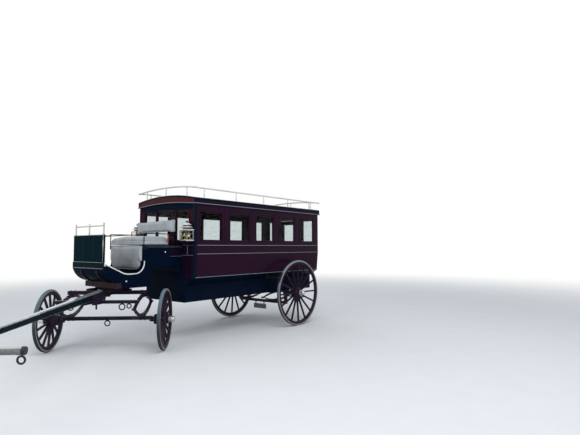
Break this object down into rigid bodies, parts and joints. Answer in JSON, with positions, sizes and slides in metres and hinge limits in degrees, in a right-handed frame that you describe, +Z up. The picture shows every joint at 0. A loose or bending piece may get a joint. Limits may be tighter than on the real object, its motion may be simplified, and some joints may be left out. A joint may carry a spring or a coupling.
{
  "type": "horse-drawn omnibus",
  "caption": "Horse-drawn coach with a closed panelled cabin and roof rail, driver's boot with upholstered seat, spoked wheels on elliptic springs, turning fore-carriage and pole",
  "frame": {"origin": "middle of the overall footprint, on the ground under the wheels", "axes": "+X is the way the coach drives, +Y is its left side, +Z is up; the fore-carriage is stored turned to the left"},
  "size_m": [7.0498, 3.4518, 2.453],
  "materials": {
    "maroon_panel": "gloss paint",
    "dark_body": "gloss paint",
    "brown_gear": "satin paint",
    "green_wood": "gloss paint",
    "dark_iron": "satin paint",
    "brown_iron": "satin paint",
    "bright_metal": "polished",
    "white_iron": "gloss paint",
    "light_paint": "gloss paint",
    "rubber": "matte",
    "window_glass": "clear",
    "lamp_glass": "clear",
    "grey_hide": "soft, grained",
    "cabin_hide": "soft, grained",
    "varnished_wood": "varnished"
  },
  "bodies": {
    "coach": {"cabin_floor": "dark_body", "cabin_side_left": "maroon_panel", "cabin_side_right": "maroon_panel", "cabin_front_wall": "maroon_panel", "cabin_rear_wall": "maroon_panel", "roof": "dark_body", "cornice": "light_paint", "mouldings": "light_paint", "corner_pillars": "dark_body", "footwell_trim": "bright_metal", "dash_trim": "light_paint", "glass_left": "window_glass", "glass_right": "window_glass", "glass_front": "window_glass", "glass_rear": "window_glass", "bench_left": "varnished_wood", "bench_right": "varnished_wood", "bench_cushion_left": "cabin_hide", "bench_cushion_right": "cabin_hide", "roof_rail": "white_iron", "boot_body": "dark_body", "transom": "brown_gear", "dash_panel": "green_wood", "dash_rail": "bright_metal", "seat_irons": "dark_iron", "seat_cushion": "grey_hide", "seat_apron": "grey_hide", "seat_back": "grey_hide", "lamp_left": "bright_metal", "lamp_right": "bright_metal", "lamp_glass": "lamp_glass", "rear_step": "dark_iron", "grab_handles": "bright_metal", "rear_axle": "brown_iron", "rear_springs": "brown_iron", "rear_plate": "white_iron", "brake_gear": "dark_iron", "upper_ring": "brown_iron", "kingpin": "dark_iron"},
    "rear_door": {"rear_door": "maroon_panel", "rear_door_glass": "window_glass"},
    "fore_carriage": {"front_axle": "brown_iron", "front_springs": "brown_iron", "turntable_frame": "brown_gear", "splinter_bar": "brown_gear", "pole": "green_wood", "pole_irons": "dark_iron"},
    "neck_yoke": {"neck_yoke": "brown_gear"},
    "wheel_rear_left": {"wheel_rear_left": "brown_gear", "tyre_rear_left": "rubber", "hub_cap_rear_left": "bright_metal"},
    "wheel_rear_right": {"wheel_rear_right": "brown_gear", "tyre_rear_right": "rubber", "hub_cap_rear_right": "bright_metal"},
    "wheel_front_left": {"wheel_front_left": "brown_gear", "tyre_front_left": "rubber", "hub_cap_front_left": "bright_metal"},
    "wheel_front_right": {"wheel_front_right": "brown_gear", "tyre_front_right": "rubber", "hub_cap_front_right": "bright_metal"}
  },
  "joints": [
    {"name": "steering", "type": "hinge", "parent": "coach", "child": "fore_carriage", "pos_m": [0.93411, -0.68644, 0.858], "axis": [0, 0, 1], "range_deg": [-107.3, 22.7]},
    {"name": "roll_rear_left", "type": "hinge", "parent": "coach", "child": "wheel_rear_left", "pos_m": [-2.39489, 0.21106, 0.61], "axis": [0, 1, 0], "continuous": true},
    {"name": "roll_rear_right", "type": "hinge", "parent": "coach", "child": "wheel_rear_right", "pos_m": [-2.39489, -1.58394, 0.61], "axis": [0, 1, 0], "continuous": true},
    {"name": "roll_front_left", "type": "hinge", "parent": "fore_carriage", "child": "wheel_front_left", "pos_m": [0.38796, -0.08623, 0.438], "axis": [-0.673, 0.7396, 0], "continuous": true},
    {"name": "roll_front_right", "type": "hinge", "parent": "fore_carriage", "child": "wheel_front_right", "pos_m": [1.48026, -1.28665, 0.438], "axis": [-0.673, 0.7396, 0], "continuous": true},
    {"name": "rear_door_hinge", "type": "hinge", "parent": "coach", "child": "rear_door", "pos_m": [-3.31489, -0.40894, 1.35], "axis": [0, 0, -1], "range_deg": [0, 100]},
    {"name": "neck_yoke_swing", "type": "hinge", "parent": "fore_carriage", "child": "neck_yoke", "pos_m": [3.21218, 1.38643, 0.697], "axis": [0, 0, 1], "range_deg": [-20, 20]}
  ]
}
